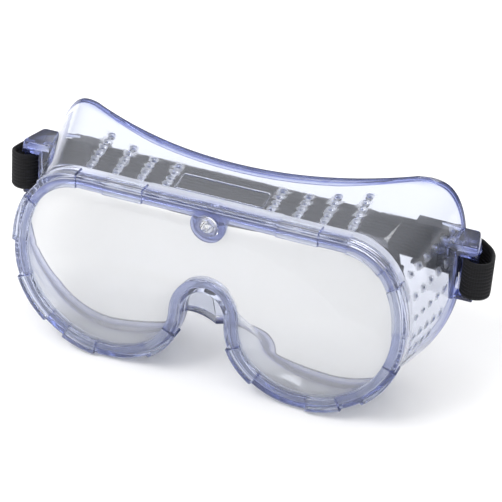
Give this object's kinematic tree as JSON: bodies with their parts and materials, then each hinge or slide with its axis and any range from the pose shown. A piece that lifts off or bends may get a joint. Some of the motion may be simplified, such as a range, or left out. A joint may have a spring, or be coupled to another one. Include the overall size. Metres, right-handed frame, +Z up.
{
  "type": "safety goggles",
  "caption": "Clear vented safety goggles: soft moulded frame with face skirt and castellated lens groove, flat lens held by a domed stud, and an elastic headband with slides.",
  "frame": {"origin": "on the table under the middle of the goggles as they rest, centred on the whole object's box", "axes": "+X to the right seen from in front, +Y from the lens back towards the face, +Z up; the lens leans back about 10 degrees, as the goggles do when they rest on a table"},
  "size_m": [0.207, 0.0716, 0.0796],
  "materials": {
    "clear_vinyl": "clear soft vinyl with a blue-violet tint, glossy",
    "lens_sheet": "clear polycarbonate sheet, polished",
    "stud_plastic": "water-clear hard plastic, polished",
    "elastic": "black ribbed woven elastic",
    "slide_plastic": "black moulded acetal, satin"
  },
  "bodies": {
    "frame": {"frame_moulding": "clear_vinyl", "lens": "lens_sheet", "lens_stud": "stud_plastic", "strap_loop_left": "elastic", "strap_loop_right": "elastic"},
    "headband": {"headband_run": "elastic"},
    "slide_left": {"strap_slide_left": "slide_plastic"},
    "slide_right": {"strap_slide_right": "slide_plastic"}
  },
  "joints": [
    {"name": "headband_pull", "type": "slide", "parent": "frame", "child": "headband", "axis": [0, 0.9829, -0.1843], "range_m": [0, 0.07], "stiffness_N_per_m": 90, "deforming": ["strap_loop_left", "strap_loop_right"]},
    {"name": "slide_left_adjust", "type": "slide", "parent": "headband", "child": "slide_left", "axis": [1, 0, 0], "range_m": [0, 0.025]},
    {"name": "slide_right_adjust", "type": "slide", "parent": "headband", "child": "slide_right", "axis": [-1, 0, 0], "range_m": [0, 0.025]}
  ]
}
